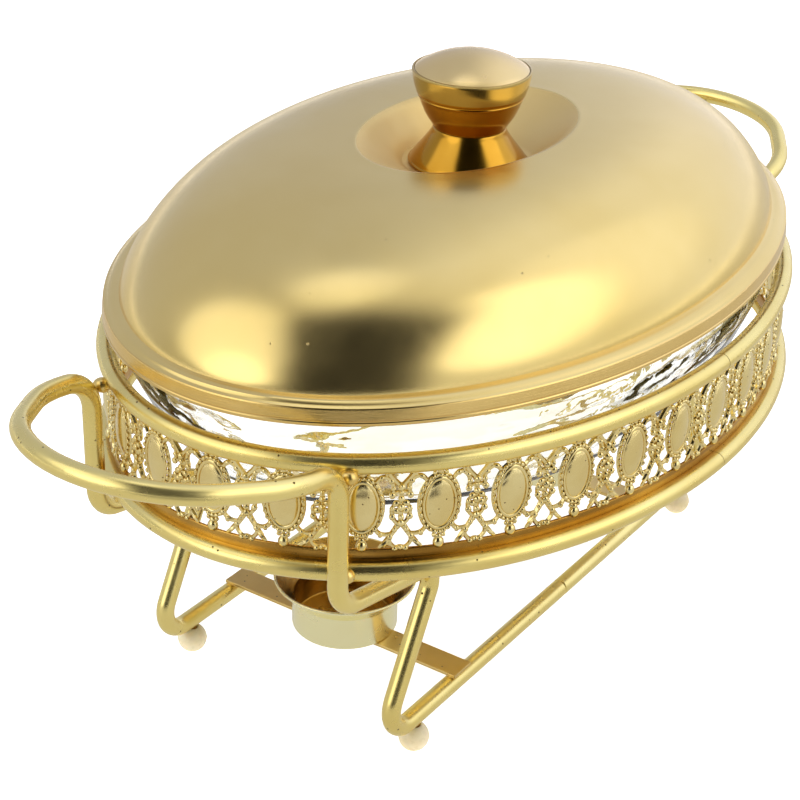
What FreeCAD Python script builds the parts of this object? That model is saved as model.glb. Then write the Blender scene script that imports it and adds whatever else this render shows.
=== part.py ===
import FreeCAD, Part
import math
import os

# Oval food warmer: brass-finished rod stand with a pierced gallery, two tea-light cups,
# a lift-out glass dish and a lift-off domed lid with a turned knob.
# Millimetres.  +Z up, X along the oval, origin on the floor under the middle of the oval.

# ---- driving sizes -------------------------------------------------------------------
LID_A = 175.0               # lid band, outside, half of the oval's length
LID_B = 119.0               # lid band, outside, half of the oval's width
LID_RIM_Z = 162.0           # lower edge of the lid band above the floor
ROD_R = 3.7                 # round rod of the frame and of both rails
ROD_Y = 56.0                # base rods and side frames stand in these planes
HANDLE_L = 69.0             # handle bow beyond the post
GALLERY_H = 34.8            # visible height of the gallery between the rails
GALLERY_N = 34              # medallions round the oval

# lid
LID_T = 1.0                 # sheet
BAND_H = 6.8                # upright band
BAND_DRAFT = 0.5            # band leans in by this over its height
SHOULDER_RISE = 2.0         # flat shoulder between the band and the dome
SHOULDER_A = 6.2            # shoulder width along X
SHOULDER_B = 7.4            # shoulder width along Y
DOME_H = 41.9               # dome above the shoulder, at its middle
DOME_P = 4.9                # dome roundness, radial power
DOME_Q = 1.3                # dome roundness, height power
DOME_SHARES = (1.0, 0.985, 0.95, 0.9, 0.83, 0.75, 0.65, 0.54, 0.44)
RIDGE_S = 0.345             # dome ends at this share of its foot oval
RIDGE_W = 4.5               # rounded ridge round the knob well
WELL_DEPTH = 14.4           # knob well below the ridge
WELL_FLOOR_R = 26.5         # round flat at the bottom of the well
WELL_MID = 0.45             # share of the well's depth where its wall turns
WELL_MID_IN = 0.72          # share of the inward run made by that depth
ROUNDER = 0.01              # keeps the well's floor oval just longer than wide

# rails and their dowels
RIM_GAP = 11.3              # top of the upper rail to the lid's lower edge
UPPER_IN_A = 3.0            # upper rail's centreline inside the lid's ends
UPPER_OUT_B = 2.0           # upper rail's centreline outside the lid's sides
FLARE_A = 1.5               # lower rail's centreline outside the upper one
FLARE_B = 2.5
SEAM_GAP = 0.3              # butt seams of the rails and of the base rods
SEAM_ANGLE = 268.0          # where the rails' ends meet, round the oval
DOWEL_WALL = 1.9            # rod left round a dowel
DOWEL_L = 22.0
DOWEL_FIT = 0.01

# gallery
GALLERY_T = 1.0             # pierced gallery strip
GALLERY_IN_A = 0.4          # strip inside the upper rail's centreline at its ends
GALLERY_OUT_B = 0.4         # and outside it along its sides
HEM_H = 1.4                 # upper hem strip, partly let into the rail
HEM_LOW_H = 4.7             # lower hem strip, partly let into the rail
HEM_T = 1.4
HEM_SINK = 0.6
HEM_LAP = 0.3               # column ends stop this far inside the hems
TIE_IN = 1.6                # ties run this far into the medallions
TIE_H = 2.4                 # ties from column to medallion
MEDAL_A = 7.3               # medallion half width
MEDAL_B = 12.3              # medallion half height
MEDAL_T = 2.0
MEDAL_HEAD = 1.1            # upper rail's underside to the medallions
COLUMN_W = 2.6              # scroll column between two medallions

# bent rods
POST_GAP = 0.35             # post to lower rail, filled by the braze
POST_DROP = 11.4            # lower rail down to the lower corner of the post
KNEE_DROP = 12.6            # lower corner of the post down to the knee
FOOT_IN = 28.71             # post in to the sharp corner of leg and base rod
LEG_LEAN = 35.0             # leg leans in by this from foot to knee
POST_RISE = 2.9             # upper rail up to the upper corner of the post
BOW_RISE = 11.9             # handle bow climbs by this to its tip
FOOT_BEND = 11.0            # centreline bend radii
KNEE_BEND = 8.0
POST_FOOT_BEND = 12.0
POST_TOP_BEND = 15.0
BOW = (                     # corners of the bow: shares of its length and of its half width
    (0.364, 1.0),
    (0.792, 0.6956),
    (1.0, 0.2852),
)
BOW_REACH = (0.172, 0.1204, 0.1664)     # each corner's rounding, as a share of the bow's length
BRAZE_IN = 1.4              # braze is thinner than the rod by this
STEPS_PER_DEGREE = 100      # how finely the post's place on the oval is searched

# straps, cups and feet
STRAP_IN = 54.8             # sharp foot corner in to the strap's middle
STRAP_W = 12.0
STRAP_T = 1.5
STRAP_SINK = 0.2            # strap let into the rod by its weld
STRAP_OVER = 2.2            # strap runs past the rod's centreline
CUP_R = 21.7
CUP_BODY_H = 14.4
CUP_FLARE = 7.6             # funnel rim beyond the body
CUP_FUNNEL_H = 8.4
CUP_T = 0.8
CUP_SINK = 0.1              # cup let into the strap by its weld
BALL_R = 6.2                # ball feet on pegs
BALL_IN = 23.7              # sharp foot corner in to the ball
BALL_TRIM = 0.4             # rod's underside below the ball's full height
BALL_CLEAR = 0.3            # trimmed top of the ball to the rod
PEG_R = 2.2
PEG_IN_BALL = 5.5
PEG_IN_ROD = 2.2

# glass dish
DISH_T = 4.6                # glass wall
DISH_H = 54.2
DISH_IN_A = 6.4             # top of the wall inside the lid band
DISH_IN_B = 3.1
DISH_SEAT = 0.1             # lip below the lid's inner corner
DISH_SIDE = (               # outside of the dish: inward along X and Y, height
    (30.6, 23.9, 0.0),
    (23.6, 16.9, 2.2),
    (19.6, 13.3, 7.0),
    (12.6, 8.5, 18.0),
    (5.6, 3.5, 31.0),
    (2.0, 0.7, 40.0),
    (1.0, 0.3, 48.0),
    (0.0, 0.0, DISH_H),
)
DISH_LIP_A = 2.6            # rolled lip beyond the wall
DISH_LIP_B = 0.9
DISH_LIP_H = 5.0
DISH_LIP_IN = 1.5           # lip's root inside the wall
DISH_LIP_RUN = 1.0          # half the height of the slope under the lip

# knob
KNOB_WAIST_R = 14.6
KNOB_RIM_R = 23.7
COLLAR_SEAT = 2.3           # well floor left showing round the collar
COLLAR_H = 14.6
COLLAR_SIDE = (             # shares of the collar's flare and of its height
    (1.0, 0.0),
    (0.771, 0.233),
    (0.396, 0.562),
    (0.104, 0.836),
    (0.0, 1.0),
)
BOWL_H = 23.7
BOWL_SIDE = (               # shares of the bowl's flare and of its height
    (0.0, 0.0),
    (0.374, 0.245),
    (0.747, 0.594),
    (0.945, 0.812),
    (1.0, 1.0),
)
GROOVE = 2                  # the groove's place in BOWL_SIDE
GROOVE_D = 0.5
CAP_IN = 1.0                # bowl's rim round the cap
CAP_T = 1.6
CAP_RISE = 6.8
WAIST_GAP = 0.1
SCREW_R = 1.75
SCREW_CLEAR = 0.2
SCREW_IN_KNOB = 13.0
SCREW_SPARE = 1.0           # threaded hole runs on past the screw
SCREW_HEAD_R = 3.4
SCREW_HEAD_H = 2.2
SLOT_W = 1.0
SLOT_D = 1.0
WASHER_R = 9.0
WASHER_T = 1.2

# ---- derived sizes -------------------------------------------------------------------
FOOT_A = LID_A - SHOULDER_A
FOOT_B = LID_B - SHOULDER_B
BAND_TOP_Z = LID_RIM_Z + BAND_H
DOME_Z = BAND_TOP_Z + SHOULDER_RISE
RIDGE_Z = DOME_Z + DOME_H * (1 - RIDGE_S ** DOME_P) ** (1 / DOME_Q)
RIDGE_A = FOOT_A * RIDGE_S
RIDGE_B = FOOT_B * RIDGE_S
WELL_Z = RIDGE_Z - WELL_DEPTH
UPPER_A = LID_A - UPPER_IN_A
UPPER_B = LID_B + UPPER_OUT_B
UPPER_Z = LID_RIM_Z - RIM_GAP - ROD_R
LOWER_A = UPPER_A + FLARE_A
LOWER_B = UPPER_B + FLARE_B
LOWER_Z = UPPER_Z - GALLERY_H - 2 * ROD_R
DOWEL_R = ROD_R - DOWEL_WALL
BRAZE_R = ROD_R - BRAZE_IN
GALLERY_A = UPPER_A - GALLERY_IN_A
GALLERY_B = UPPER_B + GALLERY_OUT_B
MEDAL_Z = UPPER_Z - ROD_R - MEDAL_HEAD - MEDAL_B
FLOOR_GAP = 2 * BALL_R - BALL_TRIM
ROD_Z = FLOOR_GAP + ROD_R
POST_FOOT_Z = LOWER_Z - POST_DROP
KNEE_Z = POST_FOOT_Z - KNEE_DROP
HANDLE_Z = UPPER_Z + POST_RISE
STRAP_TOP = ROD_Z + ROD_R - STRAP_SINK + STRAP_T
CUP_RIM_R = CUP_R + CUP_FLARE
CUP_H = CUP_BODY_H + CUP_FUNNEL_H
DISH_A = LID_A - DISH_IN_A
DISH_B = LID_B - DISH_IN_B
DISH_TOP_Z = BAND_TOP_Z - LID_T - DISH_SEAT
DISH_BASE_Z = DISH_TOP_Z - DISH_H
COLLAR_R = WELL_FLOOR_R - COLLAR_SEAT
WAIST_Z = WELL_Z + COLLAR_H
BOWL_Z = WAIST_Z + WAIST_GAP
CAP_Z = BOWL_Z + BOWL_H
CAP_R = KNOB_RIM_R - CAP_IN
SCREW_HOLE_R = SCREW_R + SCREW_CLEAR
HUGE = 4 * LID_A            # longer than any piece, for through cuts
TOUCH = 1e-6


def vec(x, y, z):
    """Short name for a FreeCAD vector."""
    return FreeCAD.Vector(x, y, z)


UP = vec(0, 0, 1)


def oval(a, b, z):
    """Closed oval wire, half length a along X and half width b along Y."""
    if b > a:
        raise ValueError("the oval's length is along X")
    if a - b < TOUCH:
        return Part.Wire([Part.Circle(vec(0, 0, z), UP, a).toShape()])
    curve = Part.Ellipse(vec(a, 0, z), vec(0, b, z), vec(0, 0, z))
    return Part.Wire([curve.toShape()])


def oval_solid(sections, ruled):
    """Solid through a stack of ovals given as (a, b, z)."""
    wires = [oval(a, b, z) for a, b, z in sections]
    return Part.makeLoft(wires, True, ruled)


def turned(points):
    """Solid turned about Z from (radius, height) points."""
    corners = [vec(r, 0, z) for r, z in points]
    face = Part.Face(Part.makePolygon(corners + corners[:1]))
    return face.revolve(vec(0, 0, 0), UP, 360)


def turned_smooth(bottom, top, side):
    """Solid turned about Z whose side is a smooth curve through (radius, height) points."""
    curve = Part.BSplineCurve()
    curve.interpolate([vec(r, 0, z) for r, z in side])
    edges = [
        Part.makeLine(vec(0, 0, bottom), vec(side[0][0], 0, side[0][1])),
        curve.toShape(),
        Part.makeLine(vec(side[-1][0], 0, side[-1][1]), vec(0, 0, top)),
        Part.makeLine(vec(0, 0, top), vec(0, 0, bottom)),
    ]
    return Part.Face(Part.Wire(edges)).revolve(vec(0, 0, 0), UP, 360)


def rounded_path(points, radii):
    """Wire of straight runs joined by bends, one radius for each inner corner."""
    edges = []
    start = points[0]
    for i, radius in enumerate(radii):
        before, corner, after = points[i], points[i + 1], points[i + 2]
        back = (before - corner).normalize()
        ahead = (after - corner).normalize()
        half = back.getAngle(ahead) / 2
        reach = radius / math.tan(half)
        enter = corner + back * reach
        leave = corner + ahead * reach
        inward = (back + ahead).normalize()
        middle = corner + inward * (radius / math.sin(half) - radius)
        edges.append(Part.makeLine(start, enter))
        edges.append(Part.Arc(enter, middle, leave).toShape())
        start = leave
    edges.append(Part.makeLine(start, points[-1]))
    return Part.Wire(edges)


def rod_along(path, radius):
    """Round solid rod along a wire."""
    edge = path.OrderedEdges[0]
    start = edge.valueAt(edge.FirstParameter)
    tangent = edge.tangentAt(edge.FirstParameter)
    if path.OrderedVertexes[0].Point.distanceToPoint(start) > TOUCH:
        start = edge.valueAt(edge.LastParameter)
        tangent = edge.tangentAt(edge.LastParameter) * -1
    profile = Part.Wire([Part.Circle(start, tangent, radius).toShape()])
    return path.makePipeShell([profile], True, False)


def ellipse_point(a, b, angle):
    """Point and outward unit normal of an oval at a parameter angle in degrees."""
    t = math.radians(angle)
    point = vec(a * math.cos(t), b * math.sin(t), 0)
    normal = vec(math.cos(t) / a, math.sin(t) / b, 0).normalize()
    return point, normal


def even_angles(a, b, count):
    """Parameter angles that space count stations evenly round the oval, from -X."""
    steps = 7200
    lengths = [0.0]
    last = ellipse_point(a, b, 180.0)[0]
    for i in range(1, steps + 1):
        here = ellipse_point(a, b, 180.0 + 360.0 * i / steps)[0]
        lengths.append(lengths[-1] + here.distanceToPoint(last))
        last = here
    angles = []
    i = 0
    for k in range(count):
        target = lengths[-1] * (k + 0.5) / count
        while lengths[i] < target:
            i += 1
        angles.append(180.0 + 360.0 * i / steps)
    return angles


def beam(start, end, radius):
    """Round bar between two points."""
    axis = end - start
    return Part.makeCylinder(radius, axis.Length, start, axis)


# ---- rails ---------------------------------------------------------------------------
def rail(a, b, z):
    """Oval rail with a butt seam, and the dowel that joins its ends."""
    half_gap = math.degrees(SEAM_GAP / 2 / a)
    curve = Part.Ellipse(vec(a, 0, z), vec(0, b, z), vec(0, 0, z))
    first = math.radians(SEAM_ANGLE + half_gap)
    last = math.radians(SEAM_ANGLE - half_gap + 360)
    ring = rod_along(Part.Wire([curve.toShape(first, last)]), ROD_R)
    point, normal = ellipse_point(a, b, SEAM_ANGLE)
    tangent = UP.cross(normal)
    middle = point + vec(0, 0, z)
    start = middle - tangent * (DOWEL_L / 2)
    hole = beam(start, start + tangent * DOWEL_L, DOWEL_R + DOWEL_FIT)
    dowel = beam(start, start + tangent * DOWEL_L, DOWEL_R)
    return ring.cut(hole), dowel


# ---- bent frame ----------------------------------------------------------------------
def quarter(a, b):
    """Points and normals round a quarter of an oval, from +X to +Y."""
    return [ellipse_point(a, b, i / STEPS_PER_DEGREE) for i in range(90 * STEPS_PER_DEGREE + 1)]


def post_x():
    """X of the upright posts: clear of the lower rail by the braze gap."""
    reach = 2 * ROD_R + POST_GAP
    outside = [point + normal * reach for point, normal in quarter(LOWER_A, LOWER_B)]
    return min(outside, key=lambda spot: abs(spot.y - ROD_Y)).x


POST_X = post_x()
FOOT_X = POST_X - FOOT_IN
KNEE_X = FOOT_X - LEG_LEAN
STRAP_X = FOOT_X - STRAP_IN
BALL_X = FOOT_X - BALL_IN


def bow_corner(along, across):
    """Corner of the handle bow from shares of its length and of its half width."""
    return POST_X + along * HANDLE_L, ROD_Y * across, HANDLE_Z + BOW_RISE * along


def bow_bends(corners):
    """Bend radius at each corner of the bow, from the reach of its rounding."""
    far = corners[-1]
    line = corners + [(far[0], -far[1], far[2])]
    radii = []
    for before, corner, after, share in zip(line, line[1:], line[2:], BOW_REACH):
        half = (vec(*before) - vec(*corner)).getAngle(vec(*after) - vec(*corner)) / 2
        radii.append(share * HANDLE_L * math.tan(half))
    return radii


def frame_half(side):
    """One bent rod from seam to seam; side is -1 for the -X half, +1 for the +X half."""
    half = [
        (0.0, ROD_Y, ROD_Z),
        (FOOT_X, ROD_Y, ROD_Z),
        (KNEE_X, ROD_Y, KNEE_Z),
        (POST_X, ROD_Y, POST_FOOT_Z),
        (POST_X, ROD_Y, HANDLE_Z),
    ]
    post_top = half[-1]
    half += [bow_corner(along, across) for along, across in BOW]
    radii = [FOOT_BEND, KNEE_BEND, POST_FOOT_BEND, POST_TOP_BEND]
    radii += bow_bends([post_top] + half[-len(BOW):])
    points = [vec(side * x, -y, z) for x, y, z in half]
    points += [vec(side * x, y, z) for x, y, z in reversed(half)]
    points[0].x = side * SEAM_GAP / 2
    points[-1].x = side * SEAM_GAP / 2
    solid = rod_along(rounded_path(points, radii + radii[::-1]), ROD_R)
    for y in (-ROD_Y, ROD_Y):
        start = vec(-DOWEL_L / 2, y, ROD_Z)
        solid = solid.cut(Part.makeCylinder(DOWEL_R + DOWEL_FIT, DOWEL_L, start, vec(1, 0, 0)))
    return solid


def base_dowel(y):
    """Dowel that joins the two bent rods in the middle of a base rod."""
    return Part.makeCylinder(DOWEL_R, DOWEL_L, vec(-DOWEL_L / 2, y, ROD_Z), vec(1, 0, 0))


def braze_spots():
    """Braze between each post and both rails."""
    post = vec(POST_X, ROD_Y, 0)
    spots = []
    for a, b, z in ((UPPER_A, UPPER_B, UPPER_Z - ROD_R), (LOWER_A, LOWER_B, LOWER_Z)):
        rail_points = [point for point, normal in quarter(a, b)]
        nearest = min(rail_points, key=post.distanceToPoint)
        for sx in (-1, 1):
            for sy in (-1, 1):
                inner = vec(sx * nearest.x, sy * nearest.y, z)
                outer = vec(sx * POST_X, sy * ROD_Y, z)
                way = (outer - inner).normalize()
                spots.append(beam(inner + way * (ROD_R / 2), outer - way * (ROD_R / 2), BRAZE_R))
    return Part.makeCompound(spots)


# ---- gallery -------------------------------------------------------------------------
def stationed(shape, angle):
    """Place a shape built about the origin, facing +Y outward, at a gallery station."""
    point, normal = ellipse_point(GALLERY_A, GALLERY_B, angle)
    turn = math.degrees(math.atan2(normal.y, normal.x)) - 90
    placed = shape.copy()
    placed.rotate(vec(0, 0, 0), UP, turn)
    placed.translate(point)
    return placed


def hem(stations, low, height):
    """Strip of flats, one flat centred on each station."""
    count = len(stations)
    edges = []
    for i in range(count):
        here = ellipse_point(GALLERY_A, GALLERY_B, stations[i])
        after = ellipse_point(GALLERY_A, GALLERY_B, stations[(i + 1) % count])
        corner = []
        for side in (-1, 1):
            first = here[0] + here[1] * (side * HEM_T / 2)
            second = after[0] + after[1] * (side * HEM_T / 2)
            along = UP.cross(here[1])
            reach = (second - first).dot(after[1]) / along.dot(after[1])
            corner.append(first + along * reach + vec(0, 0, low))
        edges.append(corner)
    rings = []
    for side in (1, 0):
        loop = [corner[side] for corner in edges]
        rings.append(Part.Face(Part.makePolygon(loop + loop[:1])))
    return rings[0].cut(rings[1]).extrude(vec(0, 0, height))


def gallery():
    """Pierced strip: medallions and scroll columns between two hems."""
    top = UPPER_Z - ROD_R + HEM_SINK
    bottom = LOWER_Z + ROD_R - HEM_SINK
    stations = even_angles(GALLERY_A, GALLERY_B, 2 * GALLERY_N)
    first = ellipse_point(GALLERY_A, GALLERY_B, stations[0])[0]
    second = ellipse_point(GALLERY_A, GALLERY_B, stations[1])[0]
    tie_l = 2 * (first.distanceToPoint(second) - MEDAL_A + TIE_IN)
    edge = Part.Ellipse(vec(0, 0, MEDAL_B), vec(MEDAL_A, 0, 0), vec(0, 0, 0)).toShape()
    medallion = Part.Face(Part.Wire([edge])).extrude(vec(0, MEDAL_T, 0))
    medallion.translate(vec(0, -MEDAL_T / 2, MEDAL_Z))
    column = Part.makeBox(COLUMN_W, GALLERY_T, top - bottom - 2 * HEM_LAP)
    column.translate(vec(-COLUMN_W / 2, -GALLERY_T / 2, bottom + HEM_LAP))
    tie = Part.makeBox(tie_l, GALLERY_T, TIE_H, vec(-tie_l / 2, -GALLERY_T / 2, MEDAL_Z - TIE_H / 2))
    pieces = []
    for k, angle in enumerate(stations):
        pieces.append(stationed(column, angle))
        pieces.append(stationed(tie if k % 2 else medallion, angle))
    hems = [hem(stations, bottom, HEM_LOW_H), hem(stations, top - HEM_H, HEM_H)]
    band = hems[0].multiFuse(hems[1:] + pieces)
    return band.Solids[0] if len(band.Solids) == 1 else band


# ---- burners and feet ----------------------------------------------------------------
def strap(side):
    """Flat cross strap resting on both base rods."""
    length = 2 * (ROD_Y + STRAP_OVER)
    corner = vec(side * STRAP_X - STRAP_W / 2, -length / 2, STRAP_TOP - STRAP_T)
    return Part.makeBox(STRAP_W, length, STRAP_T, corner)


def burner_cup(side):
    """Spun tea-light cup: straight body and a funnel rim."""
    base = STRAP_TOP - CUP_SINK
    knee = base + CUP_BODY_H
    rim = base + CUP_H
    points = [
        (0, base),
        (CUP_R, base),
        (CUP_R, knee),
        (CUP_RIM_R, rim - CUP_T),
        (CUP_RIM_R, rim),
        (CUP_RIM_R - CUP_T, rim),
        (CUP_R - CUP_T, knee + CUP_T / 2),
        (CUP_R - CUP_T, base + CUP_T),
        (0, base + CUP_T),
    ]
    cup = turned(points)
    cup.translate(vec(side * STRAP_X, 0, 0))
    return cup


def ball_foot(sx, sy):
    """Moulded ball with a socket for its peg."""
    x, y = sx * BALL_X, sy * ROD_Y
    ball = Part.makeSphere(BALL_R, vec(x, y, BALL_R))
    trim = Part.makeBox(4 * BALL_R, 4 * BALL_R, BALL_R)
    trim.translate(vec(x - 2 * BALL_R, y - 2 * BALL_R, FLOOR_GAP - BALL_CLEAR))
    socket = Part.makeCylinder(PEG_R, HUGE, vec(x, y, FLOOR_GAP - PEG_IN_BALL))
    return ball.cut(trim).cut(socket)


def foot_peg(sx, sy):
    """Peg welded under the base rod."""
    start = vec(sx * BALL_X, sy * ROD_Y, FLOOR_GAP - PEG_IN_BALL)
    return Part.makeCylinder(PEG_R, PEG_IN_BALL + PEG_IN_ROD, start)


# ---- glass dish ----------------------------------------------------------------------
def glass_dish():
    """Clear oval dish with a rolled lip."""
    side = [(DISH_A - in_a, DISH_B - in_b, DISH_BASE_Z + z) for in_a, in_b, z in DISH_SIDE]
    last = len(side) - 1
    hollow = [(a - DISH_T, b - DISH_T, z + DISH_T * (1 - i / last)) for i, (a, b, z) in enumerate(side)]
    lip_low = DISH_TOP_Z - DISH_LIP_H
    lip = oval_solid([
        (DISH_A - DISH_LIP_IN, DISH_B - DISH_LIP_IN, lip_low - DISH_LIP_RUN),
        (DISH_A + DISH_LIP_A, DISH_B + DISH_LIP_B, lip_low + DISH_LIP_RUN),
        (DISH_A + DISH_LIP_A, DISH_B + DISH_LIP_B, DISH_TOP_Z),
    ], True)
    return oval_solid(side, False).fuse(lip).cut(oval_solid(hollow, False))


# ---- lid -----------------------------------------------------------------------------
def dome_sections(inset, drop):
    """Ovals of the dome from its foot to the ridge."""
    stack = []
    for s in DOME_SHARES + (RIDGE_S,):
        z = DOME_Z + DOME_H * (1 - s ** DOME_P) ** (1 / DOME_Q)
        stack.append((FOOT_A * s - inset, FOOT_B * s - inset, z - drop))
    return stack


def well_solid(grow, low):
    """Filled shape of the knob well, from the ridge down to its round floor."""
    top_a = RIDGE_A - RIDGE_W + grow
    top_b = RIDGE_B - RIDGE_W + grow
    floor_r = WELL_FLOOR_R + grow
    mid_a = top_a + (floor_r - top_a) * WELL_MID_IN
    mid_b = top_b + (floor_r - top_b) * WELL_MID_IN
    return oval_solid([
        (top_a, top_b, RIDGE_Z + low),
        (mid_a, mid_b, RIDGE_Z + low - WELL_DEPTH * WELL_MID),
        (floor_r + ROUNDER, floor_r, WELL_Z + low),
    ], True)


def lid_body(inset, drop):
    """Filled lid outline; inset and drop give the inside of the sheet."""
    band = oval_solid([
        (LID_A - inset, LID_B - inset, LID_RIM_Z),
        (LID_A - BAND_DRAFT - inset, LID_B - BAND_DRAFT - inset, BAND_TOP_Z - drop),
        (FOOT_A - inset, FOOT_B - inset, DOME_Z - drop),
    ], True)
    return band.fuse(oval_solid(dome_sections(inset, drop), False))


def lid_shell():
    """Drawn sheet lid: band, shoulder, dome and knob well."""
    outside = lid_body(0, 0).cut(well_solid(0, 0))
    inside = lid_body(LID_T, LID_T).cut(well_solid(LID_T, -LID_T))
    shell = outside.cut(inside)
    return shell.cut(Part.makeCylinder(SCREW_HOLE_R, HUGE, vec(0, 0, 0)))


# ---- knob ----------------------------------------------------------------------------
def knob_collar():
    """Flared collar that stands in the well."""
    flare = COLLAR_R - KNOB_WAIST_R
    side = [(KNOB_WAIST_R + flare * out, WELL_Z + COLLAR_H * up) for out, up in COLLAR_SIDE]
    solid = turned_smooth(WELL_Z, WAIST_Z, side)
    return solid.cut(Part.makeCylinder(SCREW_HOLE_R, HUGE, vec(0, 0, 0)))


def knob_bowl():
    """Bowl of the knob with a fine groove and a seat for its cap."""
    flare = KNOB_RIM_R - KNOB_WAIST_R
    side = [(KNOB_WAIST_R + flare * out, BOWL_Z + BOWL_H * up) for out, up in BOWL_SIDE]
    solid = turned_smooth(BOWL_Z, CAP_Z, side)
    groove_r, groove_z = side[GROOVE]
    groove = Part.makeTorus(groove_r + GROOVE_D / 2, GROOVE_D, vec(0, 0, groove_z))
    seat = Part.makeCylinder(CAP_R, CAP_T, vec(0, 0, CAP_Z - CAP_T))
    hole = Part.makeCylinder(SCREW_R, SCREW_IN_KNOB, vec(0, 0, BOWL_Z))
    return solid.cut(groove).cut(seat).cut(hole)


def knob_cap():
    """Satin cap pressed into the top of the bowl, gently domed."""
    radius = (CAP_R ** 2 + CAP_RISE ** 2) / (2 * CAP_RISE)
    ball = Part.makeSphere(radius, vec(0, 0, CAP_Z + CAP_RISE - radius))
    blank = Part.makeCylinder(CAP_R, CAP_T + CAP_RISE, vec(0, 0, CAP_Z - CAP_T))
    return blank.common(ball)


def knob_screw():
    """Screw that holds the knob from under the lid."""
    under = WELL_Z - LID_T - WASHER_T
    top = BOWL_Z + SCREW_IN_KNOB - SCREW_SPARE
    shank = Part.makeCylinder(SCREW_R, top - under, vec(0, 0, under))
    head = Part.makeCylinder(SCREW_HEAD_R, SCREW_HEAD_H, vec(0, 0, under - SCREW_HEAD_H))
    slot_corner = vec(-SCREW_HEAD_R, -SLOT_W / 2, under - SCREW_HEAD_H)
    slot = Part.makeBox(2 * SCREW_HEAD_R, SLOT_W, SLOT_D, slot_corner)
    return shank.fuse(head).cut(slot)


def knob_washer():
    """Washer under the well floor."""
    z = WELL_Z - LID_T - WASHER_T
    blank = Part.makeCylinder(WASHER_R, WASHER_T, vec(0, 0, z))
    return blank.cut(Part.makeCylinder(SCREW_HOLE_R, WASHER_T, vec(0, 0, z)))


# ---- build ---------------------------------------------------------------------------
def build():
    """All sub-parts by node name."""
    upper, upper_dowel = rail(UPPER_A, UPPER_B, UPPER_Z)
    lower, lower_dowel = rail(LOWER_A, LOWER_B, LOWER_Z)
    parts = {
        "frame_rod_left": frame_half(-1),
        "frame_rod_right": frame_half(1),
        "base_dowel_front": base_dowel(-ROD_Y),
        "base_dowel_back": base_dowel(ROD_Y),
        "upper_rail": upper,
        "upper_rail_dowel": upper_dowel,
        "lower_rail": lower,
        "lower_rail_dowel": lower_dowel,
        "gallery_band": gallery(),
        "braze_spots": braze_spots(),
        "strap_left": strap(-1),
        "strap_right": strap(1),
        "burner_cup_left": burner_cup(-1),
        "burner_cup_right": burner_cup(1),
        "glass_dish": glass_dish(),
        "lid_shell": lid_shell(),
        "knob_collar": knob_collar(),
        "knob_bowl": knob_bowl(),
        "knob_cap": knob_cap(),
        "knob_screw": knob_screw(),
        "knob_washer": knob_washer(),
    }
    for end, sx in (("left", -1), ("right", 1)):
        for face, sy in (("front", -1), ("back", 1)):
            parts["ball_foot_" + end + "_" + face] = ball_foot(sx, sy)
            parts["foot_peg_" + end + "_" + face] = foot_peg(sx, sy)
    return parts


os.makedirs("parts", exist_ok=True)
for node, solid in build().items():
    solid.exportStep("parts/" + node + ".step")
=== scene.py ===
import logging
import math
from collections.abc import Callable
from dataclasses import dataclass
from enum import Enum

import bpy
from mathutils import Matrix, Vector


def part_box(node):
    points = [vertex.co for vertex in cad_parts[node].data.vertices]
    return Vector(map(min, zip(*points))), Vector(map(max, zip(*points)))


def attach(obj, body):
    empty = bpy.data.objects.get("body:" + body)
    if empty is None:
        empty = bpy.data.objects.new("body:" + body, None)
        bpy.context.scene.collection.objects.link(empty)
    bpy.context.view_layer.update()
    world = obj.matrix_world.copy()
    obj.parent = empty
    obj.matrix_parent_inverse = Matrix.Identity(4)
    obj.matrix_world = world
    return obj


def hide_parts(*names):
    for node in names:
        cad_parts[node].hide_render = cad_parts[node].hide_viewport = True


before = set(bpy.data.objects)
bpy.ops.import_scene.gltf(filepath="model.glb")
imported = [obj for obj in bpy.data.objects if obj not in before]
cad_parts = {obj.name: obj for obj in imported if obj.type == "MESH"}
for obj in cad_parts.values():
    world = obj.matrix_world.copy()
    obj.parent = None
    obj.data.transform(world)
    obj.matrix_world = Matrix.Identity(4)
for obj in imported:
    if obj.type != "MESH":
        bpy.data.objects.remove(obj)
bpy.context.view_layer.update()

logging.basicConfig(level=logging.INFO, format="%(message)s")
LOG = logging.getLogger("food_warmer")

Colour = tuple[float, float, float, float]
Oval = tuple[float, float, float]
ROUND = 2 * math.pi
ROD_R = 0.0037
ROD_Y = 0.056
MERGE_GAP = 1e-6


# ---- finishes ----------------------------------------------------------------
class Grain(Enum):
    """Direction of the fine lines left in a metal surface."""

    NONE = "none"
    LEVEL = "level"
    TURNED = "turned"


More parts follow.
